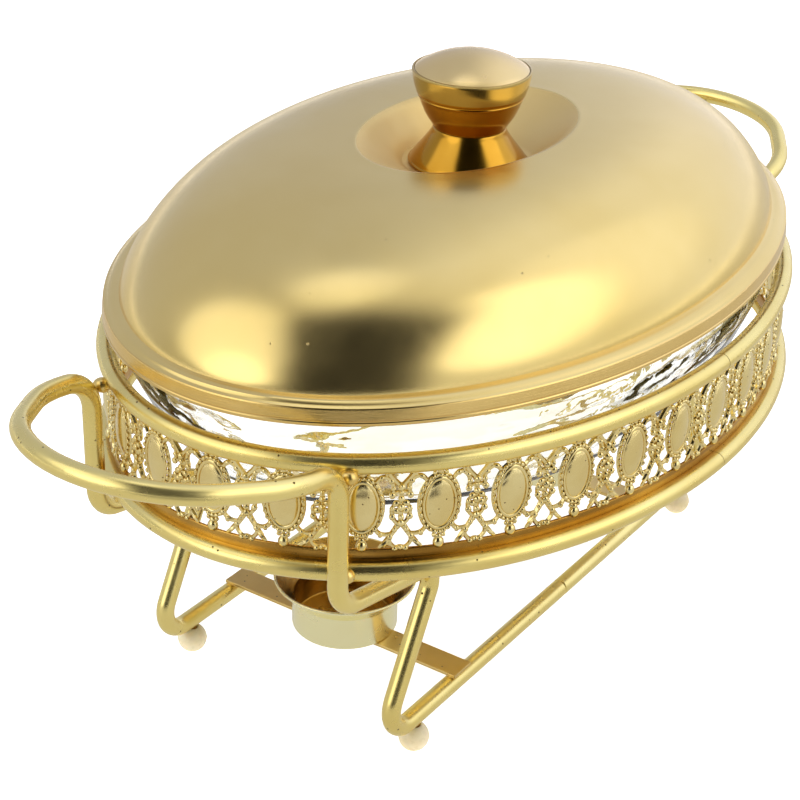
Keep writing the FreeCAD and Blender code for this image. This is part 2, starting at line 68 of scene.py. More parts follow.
class Wiring:
    """Adds nodes to one tree and links them."""

    def __init__(self, tree: bpy.types.NodeTree) -> None:
        """Work in this tree."""
        self.nodes, self.links = tree.nodes, tree.links

    def feed(self, socket: bpy.types.NodeSocket, value: object) -> None:
        """Link an output to a socket, or set the socket to a value."""
        if isinstance(value, bpy.types.NodeSocket):
            self.links.new(value, socket)
        else:
            socket.default_value = value

    def node(self, kind: str, settings: dict, inputs: dict) -> bpy.types.Node:
        """Add one node with these properties, and feed its named or numbered inputs."""
        made = self.nodes.new(kind)
        for key, value in settings.items():
            setattr(made, key, value)
        for key, value in inputs.items():
            self.feed(made.inputs[key], value)
        return made

    def squeeze(self, value: bpy.types.NodeSocket, low: float, high: float, new_low: float = 0.0,
                new_high: float = 1.0, how: str = "LINEAR") -> bpy.types.NodeSocket:
        """Map the span low to high onto new_low to new_high, clamped."""
        inputs = {"Value": value, "From Min": low, "From Max": high, "To Min": new_low, "To Max": new_high}
        return self.node("ShaderNodeMapRange", {"interpolation_type": how}, inputs).outputs["Result"]

    def maths(self, how: str, first: object, second: object) -> bpy.types.NodeSocket:
        """One Math node."""
        return self.node("ShaderNodeMath", {"operation": how}, {0: first, 1: second}).outputs["Value"]

    def vector(self, how: str, inputs: dict, out: str = "Value") -> bpy.types.NodeSocket:
        """One Vector Math node."""
        return self.node("ShaderNodeVectorMath", {"operation": how}, inputs).outputs[out]

    def blend(self, share: object, first: object, second: object) -> bpy.types.NodeSocket:
        """Mix two colours by a share that varies."""
        made = self.node("ShaderNodeMix", {"data_type": "RGBA"}, {"Factor": share, 6: first, 7: second})
        return made.outputs[2]


class Recipe(Wiring):
    """Wires up the nodes of one material."""

    def __init__(self, name: str) -> None:
        """Make an empty material with a Principled shader."""
        self.material = bpy.data.materials.new(name)
        self.material.use_nodes = True
        super().__init__(self.material.node_tree)
        self.shader = self.nodes["Principled BSDF"]
        self.place = self.nodes.new("ShaderNodeTexCoord").outputs["Object"]

    def set(self, **inputs: object) -> None:
        """Set or link the shader's own inputs, with _ for a space."""
        for key, value in inputs.items():
            self.feed(self.shader.inputs[key.replace("_", " ")], value)

    def noise(self, scale: float, detail: float = 3.0, where: object = None) -> bpy.types.NodeSocket:
        """Soft noise over the object's own coordinates, per metre."""
        inputs = {"Vector": where or self.place, "Scale": scale, "Detail": detail, "Roughness": 0.55}
        return self.node("ShaderNodeTexNoise", {}, inputs).outputs["Fac"]

    def stretched(self, x: float, y: float, z: float) -> bpy.types.NodeSocket:
        """Object coordinates scaled apart along each axis."""
        inputs = {"Vector": self.place, "Scale": (x, y, z)}
        return self.node("ShaderNodeMapping", {}, inputs).outputs["Vector"]

    def pits(self, scale: float, share: float, size: float) -> bpy.types.NodeSocket:
        """1 in sparse pits, else 0: cells per metre, pitted share, pit radius as a share of a cell."""
        cell = self.node("ShaderNodeTexVoronoi", {}, {"Vector": self.place, "Scale": scale})
        spot = self.squeeze(cell.outputs["Distance"], size * 0.55, size, 1.0, 0.0)
        where = self.squeeze(self.noise(scale * 0.31, 1.0), 0.62 - share * 0.3, 0.66 - share * 0.3)
        return self.maths("MULTIPLY", spot, where)

    def bump(self, height: bpy.types.NodeSocket, depth: float,
             under: bpy.types.NodeSocket | None = None) -> bpy.types.NodeSocket:
        """Bump of a real depth in metres, over an earlier bump if one is given."""
        inputs = {"Height": height, "Distance": depth, "Strength": 1.0}
        if under is not None:
            inputs["Normal"] = under
        return self.node("ShaderNodeBump", {}, inputs).outputs["Normal"]


@dataclass(frozen=True)
class PlatedMetal:
    """Gold-coloured plating with soft tone changes, slow waviness, grain and pits."""

    name: str
    light: Colour
    deep: Colour
    smooth: float = 0.12
    rough: float = 0.2
    cloud: float = 22.0
    wave: float = 0.0
    wave_scale: float = 55.0
    grain: Grain = Grain.NONE
    grain_depth: float = 0.0
    pit_share: float = 0.0
    pit_scale: float = 260.0
    pit_size: float = 0.13
    pit_tone: Colour = (0.10, 0.055, 0.012, 1.0)

    def build(self) -> bpy.types.Material:
        """Make the material."""
        recipe = Recipe(self.name)
        tone = recipe.squeeze(recipe.noise(self.cloud, 4.0), 0.36, 0.64)
        colour = recipe.blend(tone, self.deep, self.light)
        roughness = recipe.squeeze(recipe.noise(self.cloud * 3.1, 3.0), 0.34, 0.66, self.smooth, self.rough)
        normal = None
        if self.wave > 0:
            normal = recipe.bump(recipe.noise(self.wave_scale, 1.0), self.wave)
        if self.grain is not Grain.NONE:
            normal = recipe.bump(self.lines(recipe), self.grain_depth, normal)
        if self.pit_share > 0:
            spots = recipe.pits(self.pit_scale, self.pit_share, self.pit_size)
            colour = recipe.blend(spots, colour, self.pit_tone)
            sunk = recipe.maths("SUBTRACT", 1.0, spots)
            normal = recipe.bump(sunk, 0.00016, normal)
        recipe.set(Base_Color=colour, Metallic=1.0, Roughness=roughness)
        if normal is not None:
            recipe.set(Normal=normal)
        return recipe.material

    def lines(self, recipe: Recipe) -> bpy.types.NodeSocket:
        """Fine lines, level round an upright band or in rings round the Z axis."""
        if self.grain is Grain.LEVEL:
            return recipe.noise(1.0, 2.0, recipe.stretched(14.0, 14.0, 5200.0))
        flat = recipe.vector("MULTIPLY", {0: recipe.place, 1: (1.0, 1.0, 0.0)}, "Vector")
        radius = recipe.vector("LENGTH", {0: flat})
        rings = recipe.node("ShaderNodeTexNoise", {"noise_dimensions": "1D"},
                            {"W": recipe.maths("MULTIPLY", radius, 4200.0), "Scale": 1.0, "Detail": 2.0})
        return rings.outputs["Fac"]


@dataclass(frozen=True)
class PressedGlass:
    """Clear pressed glass with slow waves and a faint green body."""

    name: str
    body: Colour = (0.995, 1.0, 0.99, 1.0)
    streak: Colour = (0.965, 0.985, 0.955, 1.0)
    index: float = 1.47

    def build(self) -> bpy.types.Material:
        """Make the material."""
        recipe = Recipe(self.name)
        tone = recipe.squeeze(recipe.noise(1.0, 2.0, recipe.stretched(30.0, 30.0, 90.0)), 0.4, 0.6)
        wave = recipe.bump(recipe.noise(1.0, 2.0, recipe.stretched(26.0, 26.0, 60.0)), 0.0011)
        fine = recipe.bump(recipe.noise(170.0, 2.0), 0.00006, wave)
        recipe.set(Base_Color=recipe.blend(tone, self.body, self.streak), Roughness=0.0,
                   IOR=self.index, Transmission_Weight=1.0, Normal=fine)
        return recipe.material


@dataclass(frozen=True)
class MilkyPlastic:
    """Translucent moulded plastic, warm white."""

    name: str
    pale: Colour = (0.84, 0.75, 0.52, 1.0)
    warm: Colour = (0.70, 0.58, 0.34, 1.0)

    def build(self) -> bpy.types.Material:
        """Make the material."""
        recipe = Recipe(self.name)
        tone = recipe.squeeze(recipe.noise(60.0, 1.0), 0.3, 0.7)
        fine = recipe.bump(recipe.noise(300.0, 1.0), 0.00002)
        roughness = recipe.squeeze(recipe.noise(420.0), 0.35, 0.65, 0.22, 0.36)
        recipe.set(Base_Color=recipe.blend(tone, self.pale, self.warm), Roughness=roughness, IOR=1.46,
                   Subsurface_Weight=0.8, Subsurface_Scale=0.004, Subsurface_Radius=(1.0, 0.8, 0.5),
                   Normal=fine)
        return recipe.material


@dataclass(frozen=True)
class PlainSteel:
    """Bare steel of the hidden pins and fixings."""

    name: str
    light: Colour = (0.5, 0.48, 0.44, 1.0)
    deep: Colour = (0.33, 0.31, 0.28, 1.0)

    def build(self) -> bpy.types.Material:
        """Make the material."""
        recipe = Recipe(self.name)
        tone = recipe.squeeze(recipe.noise(300.0), 0.35, 0.65)
        roughness = recipe.squeeze(recipe.noise(700.0), 0.35, 0.65, 0.25, 0.4)
        recipe.set(Base_Color=recipe.blend(tone, self.deep, self.light), Metallic=1.0,
                   Roughness=roughness, Normal=recipe.bump(recipe.noise(1500.0), 0.00002))
        return recipe.material


# ---- modelling bench ---------------------------------------------------------
class Bench:
    """One mesh at a time, started from primitives and shaped in edit mode."""

    def __init__(self, name: str) -> None:
        """Open an empty mesh in edit mode."""
        bpy.ops.object.select_all(action="DESELECT")
        self.piece = bpy.data.objects.new(name, bpy.data.meshes.new(name))
        bpy.context.scene.collection.objects.link(self.piece)
        self.piece.select_set(True)
        bpy.context.view_layer.objects.active = self.piece
        bpy.ops.object.mode_set(mode="EDIT")

    def wall(self, sections: list[Oval], count: int, centre: tuple[float, float] = (0.0, 0.0)) -> None:
        """Draw a wall up through level ovals.

        Args:
            sections: half length, half width and height of each oval.
            count: points round each oval.
            centre: X and Y of their axis.
        """
        half_x, half_y, height = sections[0]
        bpy.ops.mesh.primitive_circle_add(vertices=count, radius=half_x, fill_type="NOTHING",
                                          location=(*centre, height))
        bpy.ops.transform.resize(value=(1.0, half_y / half_x, 1.0), center_override=(*centre, height))
        for next_x, next_y, next_height in sections[1:]:
            self.push((0.0, 0.0, next_height - height))
            bpy.ops.transform.resize(value=(next_x / half_x, next_y / half_y, 1.0),
                                     center_override=(*centre, next_height))
            half_x, half_y, height = next_x, next_y, next_height

    def push(self, way: tuple[float, float, float] | Vector) -> None:
        """Extrude the selected ring by a vector."""
        bpy.ops.mesh.extrude_edges_move(TRANSFORM_OT_translate={"value": tuple(way)})

    def ring(self, middle: Vector, heading: Vector, radius: float, count: int) -> None:
        """Start a rod or wire with a ring across its heading."""
        bpy.ops.mesh.primitive_circle_add(vertices=count, radius=radius, fill_type="NOTHING", location=middle,
                                          rotation=heading.to_track_quat("Z", "Y").to_euler())

    def rod(self, route: list[Vector], bends: list[float], radius: float, count: int) -> None:
        """Bend a round rod along straight runs.

        Args:
            route: its corners, ends included.
            bends: centreline radius at each inner corner.
            radius: rod radius.
            count: points round the rod.
        """
        heading = (route[1] - route[0]).normalized()
        here = route[0]
        self.ring(here, heading, radius, count)
        for corner, after, bend in zip(route[1:], route[2:], bends):
            ahead = (after - corner).normalized()
            angle = heading.angle(ahead)
            reach = bend * math.tan(angle / 2)
            enter = corner - heading * reach
            axis = heading.cross(ahead).normalized()
            self.push(enter - here)
            bpy.ops.mesh.spin(steps=max(4, round(math.degrees(angle) / 5)), angle=-angle,
                              center=enter + axis.cross(heading) * bend, axis=axis)
            here = corner + ahead * reach
            heading = ahead
        self.push(route[-1] - here)

    def wire(self, points: list[tuple[float, float]], thick: list[float], steps: int = 3,
             count: int = 6) -> None:
        """Bend a thin wire in the XZ plane.

        Args:
            points: X and Z of the places that it passes through.
            thick: wire radius at each of them.
            steps: pieces between two places.
            count: points round the wire.
        """
        line = smooth_line([Vector((x, 0.0, z)) for x, z in points], steps)
        radii = [thick[0]]
        for first, second in zip(thick, thick[1:]):
            radii += [first + (second - first) * (i + 1) / steps for i in range(steps)]
        heading = (line[1] - line[0]).normalized()
        self.ring(line[0], heading, radii[0], count)
        for i in range(1, len(line)):
            self.push(line[i] - line[i - 1])
            ahead = (line[min(i + 1, len(line) - 1)] - line[i - 1]).normalized()
            turn = math.atan2(heading.z * ahead.x - heading.x * ahead.z, heading.dot(ahead))
            bpy.ops.transform.rotate(value=-turn, orient_axis="Y", orient_type="GLOBAL",
                                     center_override=line[i])
            grow = radii[i] / radii[i - 1]
            bpy.ops.transform.resize(value=(grow, grow, grow), center_override=line[i])
            heading = ahead

    def bead(self, x: float, z: float, size: tuple[float, float, float], depth: float = 0.0,
             turn: float = 0.0, around: int = 6, rings: int = 4) -> None:
        """Add a bead of these half sizes, tilted by turn degrees in the strip's plane."""
        bpy.ops.mesh.primitive_uv_sphere_add(segments=around, ring_count=rings, radius=1.0, scale=size,
                                             location=(x, depth, z), rotation=(0.0, math.radians(turn), 0.0))

    def finish(self, smooth: float = 40.0) -> bpy.types.Object:
        """Close open ends, merge doubles, point faces outwards, leave edit mode and shade smooth."""
        bpy.ops.mesh.select_all(action="SELECT")
        bpy.ops.mesh.remove_doubles(threshold=MERGE_GAP)
        bpy.ops.mesh.fill_holes(sides=0)
        bpy.ops.mesh.normals_make_consistent(inside=False)
        bpy.ops.object.mode_set(mode="OBJECT")
        bpy.ops.object.shade_smooth_by_angle(angle=math.radians(smooth))
        return self.piece

    def modify(self, kind: str, **settings: object) -> None:
        """Add a modifier with these settings and apply it."""
        modifier = self.piece.modifiers.new(kind.title(), kind)
        for key, value in settings.items():
            setattr(modifier, key, value)
        bpy.ops.object.modifier_apply(modifier=modifier.name)


def smooth_line(points: list[Vector], steps: int) -> list[Vector]:
    """Round a row of points into a flowing line that still passes through them.

    Args:
        points: the places that it passes through.
        steps: pieces between two places.

    Returns:
        The points of the line.
    """
    padded = [points[0] * 2 - points[1]] + points + [points[-1] * 2 - points[-2]]
    line = [points[0].copy()]
    for a, b, c, d in zip(padded, padded[1:], padded[2:], padded[3:]):
        for i in range(1, steps + 1):
            t = i / steps
            line.append(0.5 * (2 * b + (c - a) * t + (2 * a - 5 * b + 4 * c - d) * t * t
                               + (3 * b - a - 3 * c + d) * t ** 3))
    return line


def rounded(corners: list[tuple[float, float, float]], steps: int = 5) -> list[tuple[float, float]]:
    """Round the corners of a profile.

    Args:
        corners: radius, height and rounding radius of each corner.
        steps: pieces in each rounding.

    Returns:
        Radius and height of each point.
    """
    points = []
    for i, (x, z, bend) in enumerate(corners):
        here = Vector((x, z))
        if bend <= 0 or i in (0, len(corners) - 1):
            points.append((x, z))
            continue
        back = Vector(corners[i - 1][:2]) - here
        ahead = Vector(corners[i + 1][:2]) - here
        half = back.angle(ahead) / 2
        reach = min(bend / math.tan(half), back.length * 0.48, ahead.length * 0.48)
        start = here + back.normalized() * reach
        end = here + ahead.normalized() * reach
        for k in range(steps + 1):
            t = k / steps
            spot = start * (1 - t) ** 2 + here * 2 * t * (1 - t) + end * t * t
            points.append((spot.x, spot.y))
    return points


def oval_point(half_x: float, half_y: float, angle: float) -> tuple[Vector, Vector]:
    """Point and outward unit normal of an oval at a parameter angle in radians."""
    point = Vector((half_x * math.cos(angle), half_y * math.sin(angle), 0.0))
    normal = Vector((math.cos(angle) / half_x, math.sin(angle) / half_y, 0.0)).normalized()
    return point, normal


def even_stations(half_x: float, half_y: float, count: int) -> list[float]:
    """Parameter angles evenly spaced along an oval, half a step after its -X end.

    Args:
        half_x: half length.
        half_y: half width.
        count: number of stations.

    Returns:
        The angles in radians.
    """
    fine = 7200
    total = [0.0]
    last = oval_point(half_x, half_y, math.pi)[0]
    for i in range(1, fine + 1):
        here = oval_point(half_x, half_y, math.pi + ROUND * i / fine)[0]
        total.append(total[-1] + (here - last).length)
        last = here
    angles = []
    i = 0
    for k in range(count):
        while total[i] < total[-1] * (k + 0.5) / count:
            i += 1
        angles.append(math.pi + ROUND * i / fine)
    return angles


def dress(piece: bpy.types.Object, finish: bpy.types.Material, slot: str, body: str, *nodes: str) -> None:
    """Give a piece its material and body, and hide the nodes that it stands for."""
    if not piece.data.materials:
        piece.data.materials.append(finish)
    if nodes:
        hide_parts(*nodes)
    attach(piece, body)
    LOG.info("%s: %d faces", piece.name, len(piece.data.polygons))


def recoat(node: str, finish: bpy.types.Material) -> None:
    """Give a carried-over CAD node its material."""
    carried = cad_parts[node]
    carried.data.materials.clear()
    carried.data.materials.append(finish)


# ---- stand -------------------------------------------------------------------
@dataclass
class BentFrame:
    """The two bent rods that make base, legs, posts and handle bows."""

    foot_x: float = 0.1353
    knee_x: float = 0.1003
    knee_z: float = 0.0808
    post_foot_z: float = 0.0934
    handle_z: float = 0.1499
    tip_z: float = 0.1618
    handle_l: float = 0.069
    seam: float = 0.00015
    leg_bends: tuple[float, ...] = (0.011, 0.008, 0.012, 0.015)
    bow_bends: tuple[float, ...] = (0.0443, 0.044, 0.055)
    bow: tuple[tuple[float, float], ...] = ((0.364, 1.0), (0.792, 0.6956), (1.0, 0.2852))
    around: int = 28

    def build(self, gold: bpy.types.Material) -> None:
        """Bend both rods."""
        for side, name in ((-1, "left"), (1, "right")):
            node = "frame_rod_" + name
            low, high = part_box(node)
            tip = max(abs(low.x), abs(high.x)) - ROD_R
            bench = Bench("bent_rod_" + name)
            bench.rod(self.route(side, tip, low.z + ROD_R), self.bends(), ROD_R, self.around)
            piece = bench.finish(60.0)
            bench.modify("BEVEL", width=0.0004, segments=2, limit_method="ANGLE", angle_limit=math.radians(60))
            dress(piece, gold, "rod_gold", "stand", node)

    def bends(self) -> list[float]:
        """Bend radii from seam to seam."""
        half = list(self.leg_bends) + list(self.bow_bends)
        return half + half[::-1]

    def route(self, side: int, tip: float, base_z: float) -> list[Vector]:
        """Corners of one rod.

        Args:
            side: -1 for the -X half, 1 for the +X half.
            tip: distance of the bow's outermost centreline.
            base_z: centreline height of the base rods.

        Returns:
            The corners from seam to seam.
        """
        post = tip - self.handle_l
        half = [
            (0.0, ROD_Y, base_z),
            (self.foot_x, ROD_Y, base_z),
            (self.knee_x, ROD_Y, self.knee_z),
            (post, ROD_Y, self.post_foot_z),
            (post, ROD_Y, self.handle_z),
        ]
        rise = self.tip_z - self.handle_z
        half += [(post + along * self.handle_l, ROD_Y * across, self.handle_z + rise * along)
                 for along, across in self.bow]
        points = [Vector((side * x, -y, z)) for x, y, z in half]
        points += [Vector((side * x, y, z)) for x, y, z in reversed(half)]
        points[0].x = points[-1].x = side * self.seam
        return points


@dataclass
class Rails:
    """Upper and lower oval rail, each with a butt seam."""

    seam_angle: float = math.radians(268.0)
    seam: float = 0.0003
    round_oval: int = 288
    round_rod: int = 20

    def build(self, gold: bpy.types.Material) -> None:
        """Form both rails."""
        for name in ("upper_rail", "lower_rail"):
            low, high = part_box(name)
            half_x, half_y, z = high.x - ROD_R, high.y - ROD_R, (low.z + high.z) / 2
            bench = Bench("ring_" + name)
            turns = [ROUND * i / self.round_rod for i in range(self.round_rod + 1)]
            bench.wall([(half_x + ROD_R * math.cos(t), half_y + ROD_R * math.cos(t),
                         z + ROD_R * math.sin(t)) for t in turns], self.round_oval)
            bpy.ops.mesh.select_all(action="SELECT")
            bpy.ops.mesh.remove_doubles(threshold=MERGE_GAP)
            self.cut_seam(bench, half_x, half_y, z)
            dress(bench.finish(60.0), gold, "rod_gold", "stand", name)

    def cut_seam(self, bench: Bench, half_x: float, half_y: float, z: float) -> None:
        """Part the ring where its two ends meet: centreline half sizes and height."""
        point, normal = oval_point(half_x, half_y, self.seam_angle)
        along = Vector((-normal.y, normal.x, 0.0))
        middle = point + Vector((0.0, 0.0, z))
        for side in (-1, 1):
            self.near(bench, middle, along, 0.009)
            bpy.ops.mesh.bisect(plane_co=middle + along * (side * self.seam / 2), plane_no=along)
        self.near(bench, middle, along, self.seam * 0.6)
        bpy.ops.mesh.delete(type="FACE")

    def near(self, bench: Bench, middle: Vector, along: Vector, reach: float) -> None:
        """Select the faces within reach of the seam along the ring."""
        bpy.ops.object.mode_set(mode="OBJECT")
        mesh = bench.piece.data
        for part in (*mesh.vertices, *mesh.edges, *mesh.polygons):
            part.select = False
        for face in mesh.polygons:
            gap = face.center - middle
            face.select = abs(gap.dot(along)) < reach and gap.length < reach + 3 * ROD_R
        bpy.ops.object.mode_set(mode="EDIT")
        bpy.ops.mesh.select_mode(type="FACE")


@dataclass
class Gallery:
    """Cast filigree strip between the rails: beaded medallions and scroll columns."""

    count: int = 34
    stone_x: float = 0.0054
    stone_z: float = 0.01
    stone_rise: float = 0.0019
    rope_x: float = 0.0071
    rope_z: float = 0.0115
    beads: int = 26
    bead: float = 0.00092
    middle_z: float = 0.1299
    heavy: float = 1.35
    hem_h: float = 0.0049
    hem_t: float = 0.0013

    def build(self, gold: bpy.types.Material, hem_gold_painted_shade: bpy.types.Material) -> None:
        """Model one medallion and one column, set them round the strip, and add the plain strip."""
        low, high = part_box("gallery_band")
        band = 0.0013
        half_x, half_y = high.x - band, high.y - band
        stations = even_stations(half_x, half_y, 2 * self.count)
        spots = [self.spot(half_x, half_y, angle) for angle in stations]
        stones = self.repeat(self.medallion(), spots[0::2])
        dress(stones, gold, "gallery_gold", "stand", "gallery_band")
        columns = self.repeat(self.column(), spots[1::2])
        dress(columns, gold, "gallery_gold", "stand")
        # The plain strip takes the dark brown gold: painted shade below the ornaments.
        dress(self.hem(half_x, half_y, low.z), hem_gold_painted_shade, "gallery_gold", "stand")

    def hem(self, half_x: float, half_y: float, foot: float) -> bpy.types.Object:
        """Plain strip that the ornaments stand on, from its lower edge up."""
        bench = Bench("gallery_hem")
        half, top = self.hem_t / 2, foot + self.hem_h
        edge = half * 0.5
        loop = [(-half, foot), (half, foot), (half, foot + edge), (half, (foot + top) / 2), (half, top - edge),
                (half * 0.8, top - edge * 0.3), (edge, top), (-edge, top), (-half, top - edge), (-half, foot)]
        bench.wall([(half_x + out, half_y + out, z) for out, z in loop], 216)
        return bench.finish(50.0)

    def spot(self, half_x: float, half_y: float, angle: float) -> Matrix:
        """Place of a motif that was modelled at the origin, facing -Y."""
        point, normal = oval_point(half_x, half_y, angle)
        turn = math.atan2(normal.y, normal.x) + math.pi / 2
        return Matrix.Translation(point) @ Matrix.Rotation(turn, 4, "Z")

    def repeat(self, motif: bpy.types.Object, spots: list[Matrix]) -> bpy.types.Object:
        """Copy a finished motif to every spot and join the copies into one piece."""
        copies = [motif]
        for _ in spots[1:]:
            bpy.ops.object.select_all(action="DESELECT")
            motif.select_set(True)
            bpy.context.view_layer.objects.active = motif
            bpy.ops.object.duplicate()
            copies.append(bpy.context.active_object)
        for copy, spot in zip(copies, spots):
            copy.data.transform(spot)
        bpy.ops.object.select_all(action="DESELECT")
        for copy in copies:
            copy.select_set(True)
        bpy.context.view_layer.objects.active = motif
        bpy.ops.object.join()
        return motif

    def medallion(self) -> bpy.types.Object:
        """Domed oval in a beaded border, with a crown above and a drop below."""
        bench = Bench("gallery_medallions")
        mid = self.middle_z
        bench.bead(0.0, mid, (self.stone_x, self.stone_rise, self.stone_z), -0.0004, 0.0, 24, 12)
        self.oval_ring(mid, self.stone_x + 0.0004, self.stone_z + 0.0004, 0.00052, -0.0007, 36)
        self.oval_ring(mid, self.rope_x - 0.0001, self.rope_z - 0.0001, 0.00105, 0.0002, 36, 0.55)
        for k in range(self.beads):
            angle = ROUND * (k + 0.5) / self.beads
            x, z = self.rope_x * math.cos(angle), self.rope_z * math.sin(angle)
            lean = -math.degrees(math.atan2(self.rope_z * math.cos(angle), -self.rope_x * math.sin(angle)))
            bench.bead(x, mid + z, (self.bead * 1.18, self.bead * 0.95, self.bead * 0.86), -0.0006, lean)
        for x, z, r in ((-0.0021, 0.0124, 0.00085), (0.0, 0.01305, 0.001), (0.0021, 0.0124, 0.00085),
                        (-0.0017, -0.0128, 0.0009), (0.0017, -0.0128, 0.0009)):
            bench.bead(x, mid + z, (r, r, r * 1.1), -0.0004)
        bench.bead(0.0, mid - 0.0135, (0.0013, 0.0011, 0.0012), -0.0004)
        bench.bead(0.0, mid - 0.01585, (0.0021, 0.0018, 0.0023), -0.0004, 0.0, 12, 8)
        bench.wire([(0.0, mid + 0.0125), (0.0, mid + 0.0145)], [0.0013, 0.0013])
        return bench.finish(50.0)

    def oval_ring(self, z: float, half_x: float, half_z: float, radius: float, depth: float,
                  around: int, flat: float = 1.0) -> None:
        """Add an oval ring that faces -Y: half sizes, own radius, Y, segments and flatness."""
        bpy.ops.mesh.primitive_torus_add(major_segments=around, minor_segments=8, major_radius=half_x,
                                         minor_radius=radius, location=(0.0, depth, z),
                                         rotation=(math.pi / 2, 0.0, 0.0))
        grow = (half_z + radius) / (half_x + radius)
        bpy.ops.transform.resize(value=(1.0, flat, grow), center_override=(0.0, depth, z))

    def column(self) -> bpy.types.Object:
        """Scroll column: forked head, arches, knots, flower and leaf-footed legs."""
        bench = Bench("gallery_columns")
        mid = self.middle_z
        bench.wire([(0.0, mid + 0.0088), (0.0, mid + 0.0002), (0.0, mid - 0.0076)], [0.001, 0.001, 0.001])
        for side in (-1, 1):
            for points, thick in self.scrolls():
                bench.wire([(side * x, mid + z) for x, z in points], [self.heavy * t for t in thick])
            for x, z, a, c, turn in self.knots():
                bench.bead(side * x, mid + z, (1.12 * a, 0.95 * min(a, c), 1.12 * c), -0.0005, side * turn)
        for z, r in ((0.0077, 0.0013), (0.0056, 0.0009), (0.003, 0.0012), (-0.0004, 0.0014), (-0.0043, 0.0011),
                     (-0.0067, 0.0013), (-0.0165, 0.0010)):
            bench.bead(0.0, mid + z, (1.15 * r, 1.1 * r, 1.15 * r), -0.0006)
        return bench.finish(50.0)

    def scrolls(self) -> list[tuple[list[tuple[float, float]], list[float]]]:
        """Wires on one side of a column: places and radii, in metres from its middle."""
        return [
            ([(0.0047, 0.0136), (0.0031, 0.0113), (0.0014, 0.0093), (0.0003, 0.0077)],
             [0.0009, 0.00072, 0.0007, 0.0009]),
            ([(0.0088, 0.0098), (0.0071, 0.0116), (0.005, 0.0115), (0.0033, 0.0097), (0.0027, 0.0072),
              (0.0031, 0.0047)], [0.0006, 0.0007, 0.00075, 0.0007, 0.00062, 0.0007]),
            ([(0.0031, 0.0045), (0.0018, 0.0054), (0.0004, 0.0056)], [0.0007, 0.0006, 0.0006]),
            ([(0.0016, 0.0009), (0.0032, -0.0009), (0.003, -0.004)], [0.0006, 0.00052, 0.0007]),
            ([(0.003, -0.0041), (0.0021, -0.0061), (0.0006, -0.0072)], [0.0007, 0.0006, 0.0007]),
            ([(0.0005, -0.0069), (0.0019, -0.0094), (0.0037, -0.0122), (0.0059, -0.015)],
             [0.0009, 0.0008, 0.00075, 0.0006]),
            ([(0.0092, -0.0086), (0.0076, -0.0107), (0.0055, -0.0114), (0.0034, -0.0112)],
             [0.0006, 0.0007, 0.00065, 0.0006]),
            ([(0.0036, -0.0121), (0.0037, -0.0146), (0.0019, -0.0167), (0.0, -0.0164)],
             [0.00055, 0.00062, 0.0006, 0.0006]),
        ]

    def knots(self) -> list[tuple[float, float, float, float, float]]:
        """Beads and leaves on one side of a column: place, half width, half height and tilt."""
        return [
            (0.0032, 0.0045, 0.00115, 0.00115, 0.0),
            (0.0018, 0.0012, 0.0013, 0.0011, 25.0),
            (0.0017, -0.0018, 0.0012, 0.0011, -25.0),
            (0.0031, -0.0041, 0.00115, 0.00115, 0.0),
            (0.0012, -0.008, 0.0009, 0.0011, 30.0),
            (0.006, -0.0152, 0.0008, 0.0022, -50.0),
            (0.0072, -0.0111, 0.0009, 0.0011, 0.0),
            (0.0019, -0.0171, 0.001, 0.0009, 0.0),
            (0.0048, 0.0133, 0.0009, 0.0014, -35.0),
            (0.0028, 0.0072, 0.0009, 0.001, 0.0),
            (0.0036, 0.0101, 0.001, 0.0009, 0.0),
            (0.0071, 0.0116, 0.0011, 0.0009, 20.0),
            (0.0032, -0.0009, 0.0009, 0.0011, 0.0),
            (0.0021, -0.0094, 0.0009, 0.001, 0.0),
            (0.0037, -0.0122, 0.001, 0.001, 0.0),
            (0.0091, -0.0087, 0.0009, 0.0009, 0.0),
        ]


@dataclass
class BrazeJoints:
    """Lumps of braze between the posts and both rails."""

    seed: int = 7
    rough: float = 0.00022
    post_gap: float = 0.0002
    size: tuple[float, float, float] = (0.0032, 0.0036, 0.0029)

    def build(self, braze: bpy.types.Material) -> None:
        """Melt a lump at each joint."""
        bench = Bench("braze_joints")
        post_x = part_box("braze_spots")[1].x + self.post_gap
        for name, lift in (("upper_rail", -0.0026), ("lower_rail", 0.0004)):
            low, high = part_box(name)
            z = (low.z + high.z) / 2 + lift
            for sx in (-1, 1):
                for sy in (-1, 1):
                    self.lump(Vector((high.x - ROD_R, high.y - ROD_R, z)), post_x, sx, sy)
        dress(bench.finish(180.0), braze, "braze", "stand", "braze_spots")

    def lump(self, rail: Vector, post_x: float, sx: int, sy: int) -> None:
        """Add one saddle-shaped lump: rail centreline's half sizes and lump height, post, and sides."""
        post = Vector((sx * post_x, sy * ROD_Y, rail.z))
        angle = math.asin(post.y / rail.y)
        spot = oval_point(rail.x, rail.y, angle if sx > 0 else math.pi - angle)[0]
        spot.z = rail.z
        turn = math.atan2(post.y - spot.y, post.x - spot.x)
        bpy.ops.mesh.primitive_uv_sphere_add(segments=20, ring_count=12, radius=1.0, scale=self.size,
                                             location=spot.lerp(post, 0.5), rotation=(0.0, 0.0, turn))
        bpy.ops.transform.vertex_random(offset=self.rough, seed=self.seed + sx + 3 * sy, uniform=0.2)
        bpy.ops.mesh.vertices_smooth(factor=0.5, repeat=2)


@dataclass
class Straps:
    """Flat cross straps on the base rods."""

    bevel: float = 0.00035

    def build(self, sheet: bpy.types.Material) -> None:
        """Cut both straps."""
        for name in ("left", "right"):
            low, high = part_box("strap_" + name)
            bench = Bench("cross_strap_" + name)
            bpy.ops.mesh.primitive_cube_add(size=1.0, location=(low + high) / 2, scale=high - low)
            bpy.ops.mesh.subdivide(number_cuts=5)
            piece = bench.finish(30.0)
            bench.modify("BEVEL", width=self.bevel, segments=3, limit_method="ANGLE")
            # The straps take the darker sheet gold: painted shade under the cups.
            dress(piece, sheet, "sheet_gold", "stand", "strap_" + name)


